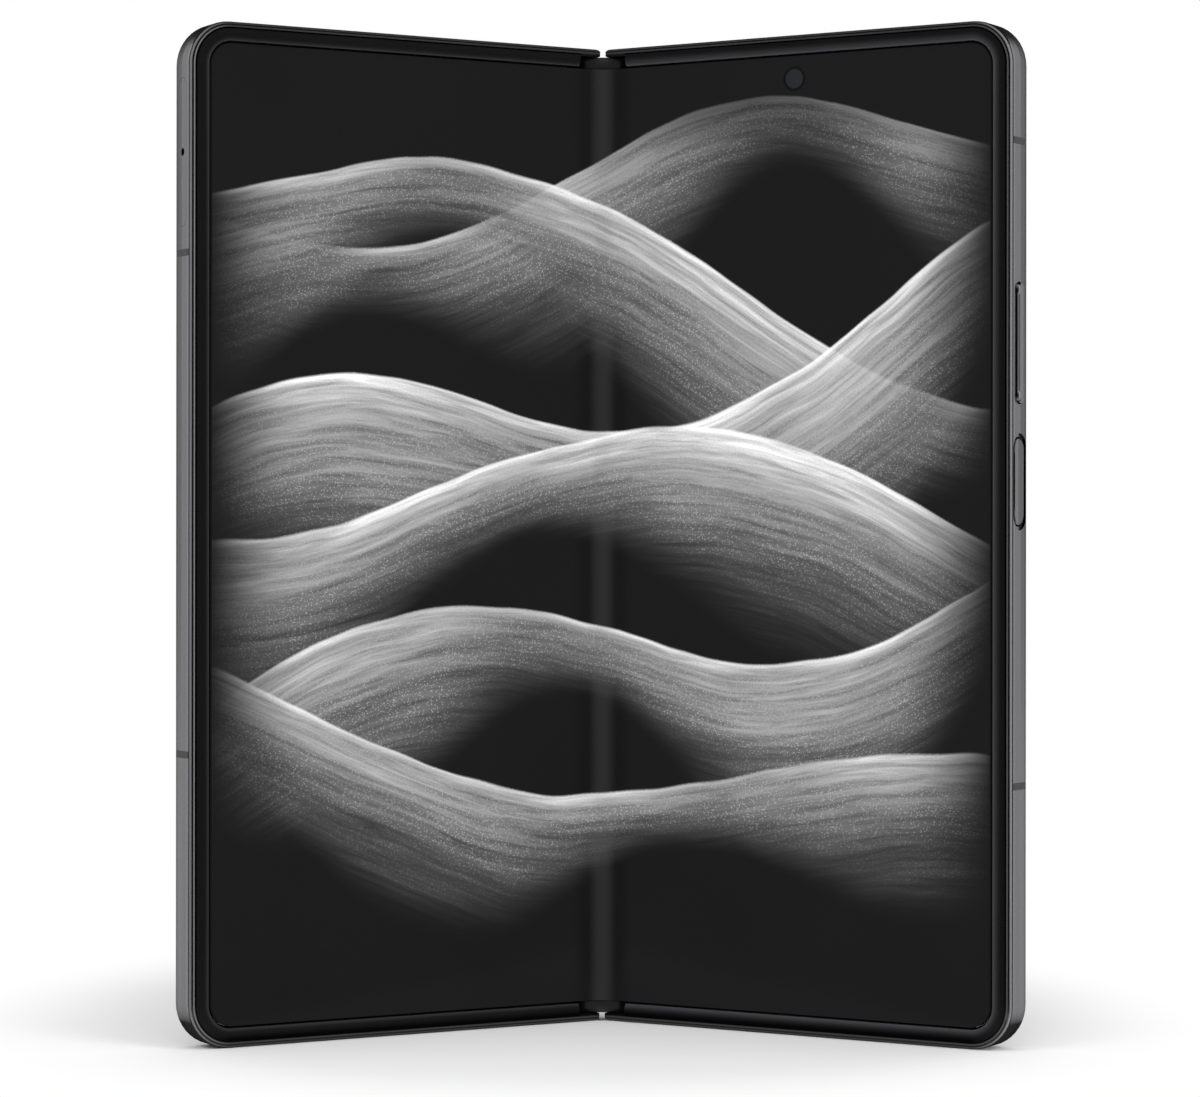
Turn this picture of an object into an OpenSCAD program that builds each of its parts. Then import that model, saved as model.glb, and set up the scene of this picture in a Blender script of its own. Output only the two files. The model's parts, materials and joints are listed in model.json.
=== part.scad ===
// Foldable smartphone, half open on its lower edges.
// Each half is drawn flat (front plane y = 0, hinge edge near x = 0) and then turned about its virtual axis.
// Millimetres. X is width, Y is depth with the inner display facing -Y, Z is up along the hinge.

/* [Body] */
// Height of the phone, along the hinge
phone_h = 158.2; // [140:0.1:175]
// Width of one half, from the hinge centre line to the outer edge
half_w = 72.3; // [64:0.1:84]
// Thickness of one half without the trim and the camera plate
body_t = 6.1; // [6:0.05:7]
// Radius of the four outer corners
corner_r = 6.9; // [5.6:0.1:9]
// Rounding of the front and rear edges of the metal frames
edge_r = 0.95; // [0.6:0.05:1.1]
// Angle by which each half is folded from flat, as stored
rest_fold = 30; // [0:1:88]

/* [Inner display] */
// Width of the raised dark border strip
trim_w = 2.0; // [1.6:0.1:2.6]
// Height of the strip's crown above the frame's front plane
trim_crown = 0.36; // [0.1:0.02:0.4]
// Thickness of the folding display
display_t = 0.5; // [0.4:0.05:0.5]

/* [Hinge] */
// Distance of each virtual axis from the centre line
axis_a = 1.6; // [1.5:0.05:1.8]
// Outer radius of the spine cover about the virtual axes
spine_r = 4.65; // [4.55:0.05:4.65]
// Number of teeth on each synchronising gear
gear_n = 10; // [10:2:14]
// Distance of the hinge modules from the ends of the phone
module_z = 6; // [5:0.5:30]

/* [Side controls] */
// Length of the volume key
volume_l = 18.5; // [12:0.5:24]
// Length of the power key
power_l = 13.5; // [10:0.5:16]
// Length of the card tray
tray_l = 22.8; // [18:0.2:24]

/* [Rear cameras] */
// Outer radius of each camera ring
lens_r = 6.3; // [5:0.1:6.6]
// Distance from one rear camera to the next
lens_pitch = 14.6; // [13.8:0.1:16]

/* [View] */
// Piece to show

/* [Hidden] */
$fn = 48;
mid_z = phone_h / 2;
hinge_x = axis_a - 1.5;           // hinge-side end of each frame, flat
nose_r = 0.35;                    // rounding of the frames' hinge-side edges, front and rear
nose_z = 0.75;                    // rounding of the flange tips, outer corner
nose_in = 0.5;                    // rounding of the flange tips, inner corner
cavity_r = spine_r + 0.15;
shell_t = 0.6;
inner_r = spine_r - shell_t;
display_y = 0.1;
back_y = display_y + display_t;
web_y = 1.1;                      // front face of the middle wall of each frame
web_t = 0.8;
floor_y = web_y + web_t;
glass_y = body_t - 0.75;
wall_t = 2.2;
flange_t = 1.35;
trim_u = edge_r + 0.12;
display_u = trim_u + trim_w + 0.33;
trim_x = axis_a + 2.3;            // hinge-side end of the border strips
fold_x = axis_a + 2.6;            // where the display starts to bend
side_y = body_t / 2;
lip_y = 0.45;                     // fine groove between the front lip and the side bands
groove_w = 0.1;
lip_u = 0.26;                     // from the outer faces to the groove's floor
key_gap = 0.18;                   // open gap around the outer part of each key
key_edge = 0.3;                   // rounding of the keys' outer edges
plate_edge = 0.4;                 // rounding of the camera plate's outer edge
plate_w = 17.2;
plate_t = 1.2;
volume_y = 2.75;
volume_w = 2.3;
power_y = 3;
power_w = 3.8;
stem_y = 3.1;                     // stems and retaining flanges of the keys, behind the middle wall
stem_w = 1.5;
tray_y = 2.85;
tray_w = 3.1;
tray_z = phone_h - corner_r - 2 - tray_l / 2;
volume_z = phone_h - 40.35 - volume_l / 2;
power_z = volume_z - volume_l / 2 - 5.3 - power_l / 2;
lens_x = half_w - 14;
lens_z = phone_h - 18.4;
ear_x = half_w / 2;
usb_x = half_w / 2;
inner_x = 12;                     // hinge-side limit of the batteries and small boards
battery_z = 34;                   // lower end of both batteries
left_deck = 46;                   // from the top end down to the left battery
right_deck = 62;                  // from the top end down to the right battery
flash_d = 12.6;                   // from the upper rear camera to the flash
shield_in = 17;                   // from the rear cameras' axis to the shield's outer edge
shield_drop = 14;                 // from the top end to the shield
coil_room = 19;                   // width of a half that the charging coil leaves free
inner_cam_x = 34.8;
inner_cam_z = phone_h - 7;
front_min = -(half_w - axis_a - edge_r) * sin(rest_fold) + edge_r * cos(rest_fold) - edge_r;
back_max = max((axis_a - hinge_x - nose_r) * sin(rest_fold) + (body_t - nose_r) * cos(rest_fold) + nose_r,
    spine_r);
shift_y = -(front_min + back_max) / 2;

// gears: four equal gears in a row, the outer two driven by toothed sectors centred on the virtual axes
gear_p = 1;
gear_y = 2.4;
gear_pitch = 360 / gear_n;
gear_m = 2 * gear_p / gear_n;
sector_d = norm([3 * gear_p - axis_a, gear_y]);
sector_p = sector_d - gear_p;
gear_ratio = sector_p / gear_p;
gear_beta = atan2(gear_y, 3 * gear_p - axis_a);
sector_pitch = gear_pitch / gear_ratio;
gear_turn = rest_fold * gear_ratio;
shaft_r = 0.4;

// the metals, plastics and glass
c_metal = [0.46, 0.46, 0.48];
c_polish = [0.62, 0.62, 0.64];
c_dark = [0.09, 0.09, 0.1];
c_black = [0.03, 0.03, 0.035];
c_steel = [0.58, 0.58, 0.6];
c_glass = [0.12, 0.12, 0.13];
c_board = [0.05, 0.2, 0.12];
c_band = [0.3, 0.3, 0.32];

// ---- placing ----
module spine_place() {
    translate([0, shift_y, 0])
        children();
}
module right_place() {
    translate([axis_a, shift_y, 0])
        rotate([0, 0, -rest_fold])
            translate([-axis_a, 0, 0])
                children();
}
// The left half is drawn as a mirror image, in the same flat coordinates as the right one.
module left_place() {
    translate([-axis_a, shift_y, 0])
        rotate([0, 0, rest_fold])
            translate([axis_a, 0, 0])
                mirror([1, 0, 0])
                    children();
}
module both_ends() {
    children();
    translate([0, 0, phone_h])
        mirror([0, 0, 1])
            children();
}

// ---- shape helpers ----
// Extrudes a shape drawn in X and Z from depth y1 to depth y2.
module slab(y1, y2) {
    rotate([90, 0, 0])
        translate([0, 0, -y2])
            linear_extrude(y2 - y1)
                children();
}
// Extrudes a shape drawn in Y and Z from x1 to x2.
module side(x1, x2) {
    translate([x1, 0, 0])
        rotate([90, 0, 90])
            linear_extrude(x2 - x1)
                children();
}
module rounded(x0, z0, x1, z1, ri, ro) {
    translate([x0 + ri, z0])
        square([x1 - x0 - ri - ro, z1 - z0]);
    translate([x0, z0 + ri])
        square([x1 - x0 - ro, z1 - z0 - 2 * ri]);
    translate([x0 + ri, z0 + ro])
        square([x1 - x0 - ri, z1 - z0 - 2 * ro]);
    for (z = [z0 + ri, z1 - ri])
        translate([x0 + ri, z])
            circle(ri);
    for (z = [z0 + ro, z1 - ro])
        translate([x1 - ro, z])
            circle(ro);
}
module stadium(y, z, w, l) {
    translate([y - w / 2, z - l / 2 + w / 2])
        square([w, l - w]);
    for (s = [-1, 1])
        translate([y, z + s * (l - w) / 2])
            circle(w / 2);
}
module box(x0, x1, y0, y1, z0, z1) {
    translate([x0, y0, z0])
        cube([x1 - x0, y1 - y0, z1 - z0]);
}
module rod_y(x, z, r, y0, y1) {
    translate([x, y0, z])
        rotate([-90, 0, 0])
            cylinder(r = r, h = y1 - y0);
}
// A plate with round ends, w wide, l long and h high, with its upper edge rounded to e.
module pill(w, l, h, e) {
    linear_extrude(h - e)
        stadium(0, 0, w, l);
    linear_extrude(h)
        stadium(0, 0, w - 2 * e, l - 2 * e);
    for (s = [-1, 1]) {
        translate([s * (w / 2 - e), 0, h - e])
            rotate([90, 0, 0])
                cylinder(r = e, h = l - w, center = true);
        translate([0, s * (l - w) / 2, h - e])
            rotate_extrude()
                translate([w / 2 - e, 0])
                    circle(e);
    }
}
// Quarter of the rounding around a corner of radius r, for the edges at depths edge_r and body_t - edge_r.
module corner_roll(x, z, r, turn) {
    for (y = [edge_r, body_t - edge_r])
        translate([x, y, z])
            rotate([90, 0, 0])
                rotate([0, 0, turn])
                    rotate_extrude(angle = 90)
                        intersection() {
                            translate([r - edge_r, 0])
                                circle(edge_r);
                            translate([0, -edge_r])
                                square([r, 2 * edge_r]);
                        }
}
// The outline of a half seen along the hinge: small radii at the hinge-side edges.
module nose_plan() {
    translate([hinge_x + nose_r, 0])
        square([half_w, body_t]);
    translate([hinge_x, nose_r])
        square([half_w, body_t - 2 * nose_r]);
    for (y = [nose_r, body_t - nose_r])
        translate([hinge_x + nose_r, y])
            circle(nose_r);
}
module blank() {
    x0 = hinge_x - 1;
    x1 = half_w;
    c = edge_r;
    intersection() {
        union() {
            slab(0, body_t)
                rounded(x0, c, x1 - c, phone_h - c, 0.01, corner_r - c);
            slab(c, body_t - c)
                rounded(x0, 0, x1, phone_h, 0.01, corner_r);
            for (y = [c, body_t - c]) {
                translate([x1 - c, y, corner_r])
                    cylinder(r = c, h = phone_h - 2 * corner_r);
                for (z = [c, phone_h - c])
                    translate([x0, y, z])
                        rotate([0, 90, 0])
                            cylinder(r = c, h = x1 - corner_r - x0);
            }
            corner_roll(x1 - corner_r, corner_r, corner_r, 270);
            corner_roll(x1 - corner_r, phone_h - corner_r, corner_r, 0);
        }
        translate([0, 0, -1])
            linear_extrude(phone_h + 2)
                nose_plan();
        slab(-1, body_t + 1)
            rounded(hinge_x, 0, half_w + 2, phone_h, nose_z, 0.01);
    }
}
// A half's frame without its holes: room for the spine, the display, the inner parts and the rear glass.
module raw_frame() {
    difference() {
        blank();
        translate([axis_a, 0, flange_t])
            cylinder(r = cavity_r, h = phone_h - 2 * flange_t, $fn = 96);
        box(hinge_x - 1, axis_a, -1, cavity_r, flange_t, phone_h - flange_t);
        both_ends()
            slab(-1, cavity_r)
                difference() {
                    translate([hinge_x - 1, flange_t - nose_in])
                        square([1 + nose_in, nose_in + 0.1]);
                    translate([hinge_x + nose_in, flange_t - nose_in])
                        circle(nose_in);
                }
        slab(-1, web_y)
            rounded(trim_x - 0.05, edge_r, half_w - edge_r, phone_h - edge_r, 0.01, corner_r - edge_r);
        slab(floor_y, glass_y + 0.1)
            rounded(axis_a + cavity_r + 2.2, wall_t, half_w - wall_t, phone_h - wall_t, 1.5, corner_r - wall_t);
        slab(glass_y, body_t + 1)
            rounded(2.2, 1.1, half_w - 1.1, phone_h - 1.1, 0.8, corner_r - 1.1);
        lip_groove();
    }
}
module lip_groove() {
    slab(lip_y, lip_y + groove_w)
        difference() {
            translate([trim_x, -1])
                square([half_w, phone_h + 2]);
            rounded(trim_x - 1, lip_u, half_w - lip_u, phone_h - lip_u, 0.01, corner_r - lip_u);
        }
}
module side_slab(z) {
    box(half_w - 1.7, half_w + 1, lip_y + groove_w / 2, body_t + 1, z - 0.55, z + 0.55);
}
module end_slab(x) {
    both_ends()
        box(x - 0.55, x + 0.55, lip_y + groove_w / 2, body_t + 1, -1, 1.0);
}
module right_slabs() {
    side_slab(phone_h - 18.6);
    side_slab(40.6);
    end_slab(half_w - 8.3);
}
module left_slabs() {
    side_slab(tray_z - tray_l / 2 - 4.1);
    side_slab(45.3);
}
// ---- the border strip ----
module trim_section(u0) {
    rc = 2.6;
    intersection() {
        translate([u0, -trim_crown - 1])
            square([trim_w, trim_crown + 1 + web_y]);
        union() {
            translate([u0, 0])
                square([trim_w, web_y]);
            translate([u0 + trim_w * 0.65, rc - trim_crown])
                circle(rc, $fn = 96);
        }
    }
}
module trim() {
    difference() {
        trim_strip();
        both_ends()
            slab(-3, web_y + 1)
                polygon([[trim_x - 1, trim_u - 1], [trim_x - 0.2, trim_u - 1],
                    [trim_x + 0.45, trim_u + trim_w + 0.2], [trim_x - 1, trim_u + trim_w + 0.2]]);
    }
}
module trim_strip() {
    intersection() {
        union() {
            // outer side
            translate([0, 0, corner_r])
                linear_extrude(phone_h - 2 * corner_r)
                    translate([half_w, 0])
                        mirror([1, 0])
                            trim_section(trim_u);
            // both ends and the corners
            for (s = [0, 1])
                translate([0, 0, s * phone_h])
                    mirror([0, 0, s]) {
                        side(trim_x, half_w - corner_r)
                            mirror([1, -1])
                                mirror([0, 0])
                                    trim_section(trim_u);
                        translate([half_w - corner_r, 0, corner_r])
                            rotate([90, 0, 0])
                                rotate([0, 0, 270])
                                    rotate_extrude(angle = 90)
                                        mirror([0, 1])
                                            translate([corner_r, 0])
                                                mirror([1, 0])
                                                    trim_section(trim_u);
                    }
        }
        box(0, half_w, -2, web_y, 0, phone_h);
    }
}

// ---- gears ----
function inv(p) = tan(p) * 180 / PI - p;
function half_tooth(r, rb, q) = 90 / (gear_n * r / gear_p) - 1.1 / r + inv(25) - inv(acos(min(1, rb / q)));
module tooth(r) {
    ra = r + 0.85 * gear_m;
    rf = r - 1.2 * gear_m;
    rb = r * cos(25);
    r0 = max(rb, rf);
    qs = [for (i = [0:4]) r0 + (ra - r0) * i / 4];
    up = [for (q = qs) [q * cos(half_tooth(r, rb, q)), q * sin(half_tooth(r, rb, q))]];
    down = [for (i = [4:-1:0]) [up[i][0], -up[i][1]]];
    h0 = half_tooth(r, rb, r0);
    foot = rf - 0.06;
    polygon(concat([[foot * cos(h0), foot * sin(h0)]], up, down, [[foot * cos(h0), -foot * sin(h0)]]));
}
module gear(turn) {
    rotate(turn) {
        circle(gear_p - 1.2 * gear_m);
        for (i = [0:gear_n - 1])
            rotate(i * gear_pitch)
                tooth(gear_p);
    }
}
// One gear with its shaft, at x, from z0 to z1 of the module.
module gear_piece(x, turn, z0, z1) {
    both_ends()
        translate([x, gear_y, module_z]) {
            translate([0, 0, z0])
                linear_extrude(z1 - z0)
                    gear(turn);
            translate([0, 0, 0.15])
                cylinder(r = shaft_r, h = 6.9);
        }
}
// The turning arm of a half, flat: a plate on the frame, a curved slider and a toothed sector.
module wedge(r, a0, a1) {
    steps = 6;
    pts = [for (i = [0:steps]) r * [cos(a0 + (a1 - a0) * i / steps), sin(a0 + (a1 - a0) * i / steps)]];
    polygon(concat([[0, 0]], pts));
}
module ring(r0, r1, a0, a1) {
    intersection() {
        difference() {
            circle(r1, $fn = 96);
            circle(r0, $fn = 96);
        }
        wedge(r1 * 1.6, a0, a1);
    }
}
module sector2d(first) {
    intersection() {
        union() {
            ring(1.22, sector_p - 1.2 * gear_m, 28, 157);
            for (i = [-1:5])
                let (t = first + i * sector_pitch)
                    if (t > 38 && t < 156)
                        rotate(t)
                            tooth(sector_p);
            translate([1.05, back_y + 0.05])
                square([1.9, web_y - back_y - 0.05]);
        }
        translate([-4, back_y + 0.05])
            square([8, 4]);
    }
}
module arm(first, gear_z, slide_z, screw_z) {
    lo = min(gear_z, slide_z);
    hi = max(gear_z + 1.5, slide_z + 2.9);
    both_ends()
        translate([axis_a, 0, module_z])
            difference() {
                union() {
                    translate([0, 0, gear_z])
                        linear_extrude(1.5)
                            sector2d(first);
                    translate([0, 0, slide_z])
                        linear_extrude(2.9) {
                            intersection() {
                                ring(2.6, 3.7, 8, 148);
                                translate([-5, back_y + 0.05])
                                    square([10, 6]);
                            }
                            translate([2.75, back_y + 0.05])
                                square([1.2, web_y - back_y - 0.05]);
                        }
                    box(2.85, 9.3, back_y + 0.05, web_y, lo, hi);
                }
                for (z = screw_z) {
                    rod_y(7.6, z, 0.6, 0, web_y + 1);
                    rod_y(7.6, z, 1.15, 0, back_y + 0.2);
                }
            }
}
module screws(screw_z) {
    both_ends()
        for (z = screw_z) {
            rod_y(axis_a + 7.6, module_z + z, 1.1, back_y + 0.02, back_y + 0.2);
            rod_y(axis_a + 7.6, module_z + z, 0.6, back_y + 0.1, floor_y - 0.1);
        }
}
left_screw_z = [1.8, 5.4, 9.2];
right_screw_z = [5.4, 9.2, 12.9];

// ---- spine ----
module spine_cover() {
    color(c_metal)
        spine_place()
            difference() {
                translate([0, 0, 1.5])
                    linear_extrude(phone_h - 3)
                        spine_section(spine_r, 1.25);
                translate([0, 0, 2.1])
                    linear_extrude(phone_h - 4.2)
                        spine_section(inner_r, -1);
                both_ends()
                    box(-9, 9, 0, 2.15, 1, 2.1);
            }
}
module spine_section(r, y0) {
    intersection() {
        union() {
            for (s = [-1, 1])
                translate([s * axis_a, 0])
                    circle(r, $fn = 96);
            translate([-axis_a, 0])
                square([2 * axis_a, r]);
        }
        translate([-9, y0])
            square([18, 12]);
    }
}
module hinge_end_caps() {
    color(c_black)
        spine_place()
            both_ends()
                translate([0, 0, 1.5])
                    linear_extrude(display_u - 1.6)
                        intersection() {
                            union() {
                                for (s = [-1, 1])
                                    translate([s * axis_a, 0])
                                        circle(2.1);
                                translate([-axis_a, -0.6])
                                    square([2 * axis_a, 2.7]);
                            }
                            translate([-6, -0.22])
                                square([12, 2.37]);
                        }
}
module hinge_brackets() {
    color(c_steel)
        spine_place()
            both_ends()
                translate([0, 0, module_z])
                    difference() {
                        union() {
                            for (z = [0, 6.4])
                                translate([0, 0, z])
                                    linear_extrude(0.8)
                                        spine_section(inner_r - 0.02, 1.2);
                            translate([0, 0, 7.2])
                                linear_extrude(8.2)
                                    spine_section(inner_r - 0.02, 1.2);
                            box(-axis_a, axis_a, inner_r - 0.3, inner_r, 0.5, 15);
                        }
                        for (x = [-3, -1, 1, 3])
                            translate([x * gear_p, gear_y, 0.1])
                                cylinder(r = shaft_r + 0.05, h = 7);
                        for (s = [-1, 1])
                            translate([s * axis_a, 0, s < 0 ? 7.95 : 11.5])
                                difference() {
                                    cylinder(r = 3.76, h = 3.1, $fn = 96);
                                    translate([0, 0, -1])
                                        cylinder(r = 2.54, h = 6, $fn = 96);
                                }
                    }
}
module hinge_beam() {
    color(c_steel)
        spine_place()
            difference() {
                box(-1.3, 1.3, 1.45, inner_r, module_z + 16.5, phone_h - module_z - 16.5);
                for (z = [module_z + 24, mid_z - 14, mid_z + 14, phone_h - module_z - 24])
                    rod_y(0, z, 0.6, 1, inner_r - 0.6);
            }
}
module display_fold() {
    len = (fold_x - axis_a) * cos(rest_fold) + display_y * sin(rest_fold) + axis_a;
    yp = -(fold_x - axis_a) * sin(rest_fold) + display_y * cos(rest_fold);
    color(c_glass)
        spine_place()
            translate([0, 0, display_u])
                if (rest_fold > 2) {
                    rf = len / sin(rest_fold);
                    cy = yp - rf * cos(rest_fold);
                    translate([0, cy, 0])
                        linear_extrude(phone_h - 2 * display_u)
                            intersection() {
                                difference() {
                                    circle(rf + display_t, $fn = 180);
                                    circle(rf, $fn = 180);
                                }
                                polygon([[0, 0], [-2 * rf * tan(rest_fold), 2 * rf],
                                    [2 * rf * tan(rest_fold), 2 * rf]]);
                            }
                } else
                    translate([-fold_x, display_y, 0])
                        cube([2 * fold_x, display_t, phone_h - 2 * display_u]);
}
module left_main_gear() {
    color(c_steel)
        spine_place()
            gear_piece(-3 * gear_p, -gear_beta - gear_turn, 1.0, 4.4);
}
module left_idler_gear() {
    color(c_steel)
        spine_place()
            gear_piece(-gear_p, gear_beta + 180 + gear_pitch / 2 + gear_turn, 2.8, 4.4);
}
module right_idler_gear() {
    color(c_steel)
        spine_place()
            gear_piece(gear_p, -gear_beta - gear_turn, 2.8, 4.4);
}
module right_main_gear() {
    color(c_steel)
        spine_place()
            gear_piece(3 * gear_p, 180 + gear_beta + gear_pitch / 2 + gear_turn, 2.8, 6.2);
}
module right_rotators() {
    color(c_steel)
        right_place()
            arm(gear_beta, 4.65, 11.6, right_screw_z);
}
module left_rotators() {
    color(c_steel)
        left_place()
            arm(gear_beta + sector_pitch / 2, 1.05, 8.05, left_screw_z);
}
module right_hinge_screws() {
    color(c_polish)
        right_place()
            screws(right_screw_z);
}
module left_hinge_screws() {
    color(c_polish)
        left_place()
            screws(left_screw_z);
}

// ---- frames ----
module hinge_holes(screw_z) {
    both_ends()
        for (z = screw_z)
            rod_y(axis_a + 7.6, module_z + z, 0.6, web_y - 1, floor_y + 1);
}
module right_holes() {
    hinge_holes(right_screw_z);
    // volume key, and the power key in its shallow recess
    key_hole(volume_y, volume_z, volume_w, volume_l);
    key_hole(power_y, power_z, power_w, power_l);
    side(half_w - 0.3, half_w + 1)
        stadium(power_y, power_z, power_w + 0.9, power_l + 1.4);
    // charging socket and the speaker slots beside it
    translate([usb_x, side_y, -1])
        linear_extrude(9.8)
            usb_outline(8.98, 3.2);
    for (i = [0:5])
        translate([usb_x - 19 - i * 2.3, side_y, -1])
            cylinder(r = 0.75, h = wall_t + 2, $fn = 24);
    translate([usb_x + 9, side_y, -1])
        cylinder(r = 0.5, h = wall_t + 2, $fn = 24);
    // microphone in the top end and the inner camera
    translate([usb_x - 8, side_y, phone_h - wall_t - 1])
        cylinder(r = 0.5, h = wall_t + 2, $fn = 24);
    rod_y(inner_cam_x, inner_cam_z, 2.3, web_y - 1, floor_y + 1);
}
module key_hole(y, z, w, l) {
    side(half_w - 1.5, half_w + 1)
        stadium(y, z, w + 2 * key_gap, l + 2 * key_gap);
    side(half_w - wall_t - 1, half_w - 1)
        stadium(stem_y, z, stem_w + 0.12, l - 1.88);
}
module usb_outline(l, w) {
    translate([-(l - w) / 2, -w / 2])
        square([l - w, w]);
    for (s = [-1, 1])
        translate([s * (l - w) / 2, 0])
            circle(w / 2);
}
module left_holes() {
    hinge_holes(left_screw_z);
    side(half_w - 1.5, half_w + 1)
        stadium(tray_y, tray_z, tray_w + 0.1, tray_l + 0.1);
    box(half_w - wall_t - 1, half_w - 1, tray_y - 0.75, tray_y + 0.75, tray_z - tray_l / 2 + 1.9,
        tray_z + tray_l / 2 - 1.9);
    // earpiece slots in the top end, loudspeaker holes in the lower end
    for (i = [0:5])
        translate([ear_x - 5.75 + i * 2.3, side_y, phone_h - wall_t - 1])
            cylinder(r = 0.6, h = wall_t + 2, $fn = 24);
}
module right_frame() {
    color(c_metal)
        right_place()
            difference() {
                raw_frame();
                right_slabs();
                right_holes();
            }
}
module left_frame() {
    color(c_metal)
        left_place()
            difference() {
                raw_frame();
                left_slabs();
                left_holes();
            }
}
module right_antenna_bands() {
    color(c_band)
        right_place()
            intersection() {
                raw_frame();
                right_slabs();
            }
}
module left_antenna_bands() {
    color(c_band)
        left_place()
            intersection() {
                raw_frame();
                left_slabs();
            }
}
module right_trim() {
    color(c_dark)
        right_place()
            trim();
}
module left_trim() {
    color(c_dark)
        left_place()
            trim();
}
module panel() {
    slab(display_y, back_y)
        rounded(fold_x, display_u, half_w - display_u, phone_h - display_u, 0.01, corner_r - display_u);
}
module right_display() {
    color(c_glass)
        right_place()
            panel();
}
module left_display() {
    color(c_glass)
        left_place()
            panel();
}
module support() {
    difference() {
        slab(back_y, web_y)
            rounded(fold_x + 0.2, display_u, half_w - display_u, phone_h - display_u, 0.5,
                corner_r - display_u);
        both_ends()
            box(fold_x, axis_a + 9.6, 0, web_y + 1, module_z - 1, module_z + 16.4);
    }
}
module right_support_plate() {
    color(c_steel)
        right_place()
            difference() {
                support();
                rod_y(inner_cam_x, inner_cam_z, 2.3, 0, web_y + 1);
            }
}
module left_support_plate() {
    color(c_steel)
        left_place()
            support();
}

// ---- parts of the left half ----
module cover_glass() {
    color(c_glass)
        left_place()
            slab(glass_y, body_t)
                rounded(2.26, 1.16, half_w - 1.16, phone_h - 1.16, 0.74, corner_r - 1.16);
}
module cover_panel() {
    color(c_black)
        left_place()
            difference() {
                slab(glass_y - 0.75, glass_y)
                    rounded(axis_a + cavity_r + 2.6, 4, half_w - 3.4, phone_h - 4, 1.2, 3);
                rod_y(ear_x, phone_h - 8, 2.2, 0, body_t);
            }
}
module cover_camera() {
    color(c_black)
        left_place() {
            rod_y(ear_x, phone_h - 8, 1.9, glass_y - 0.6, glass_y);
            rod_y(ear_x, phone_h - 8, 2.6, floor_y, glass_y - 0.9);
            rod_y(ear_x, phone_h - 8, 1.5, glass_y - 1, glass_y - 0.5);
        }
}
module earpiece() {
    color(c_dark)
        left_place()
            box(ear_x - 9, ear_x + 9, floor_y, glass_y - 1, phone_h - 4.9, phone_h - wall_t);
}
module left_board() {
    color(c_board)
        left_place() {
            box(inner_x, half_w - 19, floor_y, floor_y + 0.8, phone_h - left_deck + 4, phone_h - 11.5);
            box(inner_x + 3, half_w - 24, floor_y + 0.8, floor_y + 1.9, phone_h - left_deck + 8,
                phone_h - 15);
        }
}
module left_battery() {
    color(c_dark)
        left_place()
            box(inner_x, half_w - 5, floor_y, glass_y - 0.95, battery_z, phone_h - left_deck);
}
module vibration_motor() {
    color(c_steel)
        left_place()
            box(inner_x + 2, inner_x + 18, floor_y, glass_y - 0.95, battery_z - 26, battery_z - 19);
}
module card_tray() {
    color(c_metal)
        left_place() {
            difference() {
                union() {
                    side(half_w - 1.45, half_w)
                        stadium(tray_y, tray_z, tray_w, tray_l);
                    box(half_w - 16, half_w - 1.4, tray_y - 0.7, tray_y + 0.7, tray_z - tray_l / 2 + 2,
                        tray_z + tray_l / 2 - 2);
                }
                translate([half_w - 14.6, tray_y - 0.2, tray_z - 7.6])
                    cube([11.6, 2, 15.2]);
                translate([half_w - 1.1, tray_y, tray_z])
                    rotate([0, 90, 0])
                        cylinder(r = 0.6, h = 3);
            }
        }
}

// ---- parts of the right half ----
module lens_at() {
    for (i = [0:2])
        translate([lens_x, 0, lens_z - i * lens_pitch])
            children();
}
module rear_glass() {
    color(c_glass)
        right_place()
            difference() {
                slab(glass_y, body_t)
                    rounded(2.26, 1.16, half_w - 1.16, phone_h - 1.16, 0.74, corner_r - 1.16);
                lens_at()
                    rod_y(0, 0, 5.2, 0, body_t + 1);
                rod_y(lens_x - flash_d, lens_z, 1.7, 0, body_t + 1);
            }
}
module camera_plate() {
    color(c_metal)
        right_place()
            difference() {
                translate([lens_x, body_t, lens_z - lens_pitch])
                    rotate([-90, 0, 0])
                        pill(plate_w, plate_w + 2 * lens_pitch, plate_t, plate_edge);
                lens_at()
                    rod_y(0, 0, 5.2, body_t - 1, body_t + 3);
            }
}
module lens_rings() {
    color(c_polish)
        right_place()
            lens_at()
                difference() {
                    union() {
                        rod_y(0, 0, lens_r, body_t + plate_t, body_t + plate_t + 0.25);
                        translate([0, body_t + plate_t + 0.25, 0])
                            rotate([-90, 0, 0])
                                cylinder(r1 = lens_r, r2 = lens_r - 0.25, h = 0.25, $fn = 96);
                    }
                    rod_y(0, 0, 4.8, body_t, body_t + 3);
                    translate([0, body_t + plate_t + 0.35, 0])
                        rotate([-90, 0, 0])
                            cylinder(r1 = 4.8, r2 = 5.3, h = 0.5, $fn = 96);
                }
}
module lens_glass() {
    color(c_black)
        right_place()
            lens_at()
                rod_y(0, 0, 4.8, body_t + 1.0, body_t + 1.5);
}
module camera_modules() {
    color(c_dark)
        right_place()
            lens_at() {
                box(-5, 5, floor_y, glass_y - 0.6, -5, 5);
                rod_y(0, 0, 4.6, floor_y + 1, body_t + 1.0);
            }
}
module flash_lens() {
    color([0.9, 0.88, 0.8])
        right_place()
            rod_y(lens_x - flash_d, lens_z, 1.64, glass_y - 1.4, body_t + 0.05);
}
module main_board() {
    color(c_board)
        right_place()
            difference() {
                box(inner_x - 1, lens_x - 7, floor_y, floor_y + 0.8, phone_h - right_deck + 10, phone_h - 4);
                rod_y(inner_cam_x, inner_cam_z, 2.8, 0, body_t);
            }
}
module shield_can() {
    color(c_steel)
        right_place()
            box(inner_x + 3, lens_x - shield_in, floor_y + 0.8, floor_y + 2.3, phone_h - right_deck + shield_drop,
                phone_h - shield_drop);
}
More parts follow.
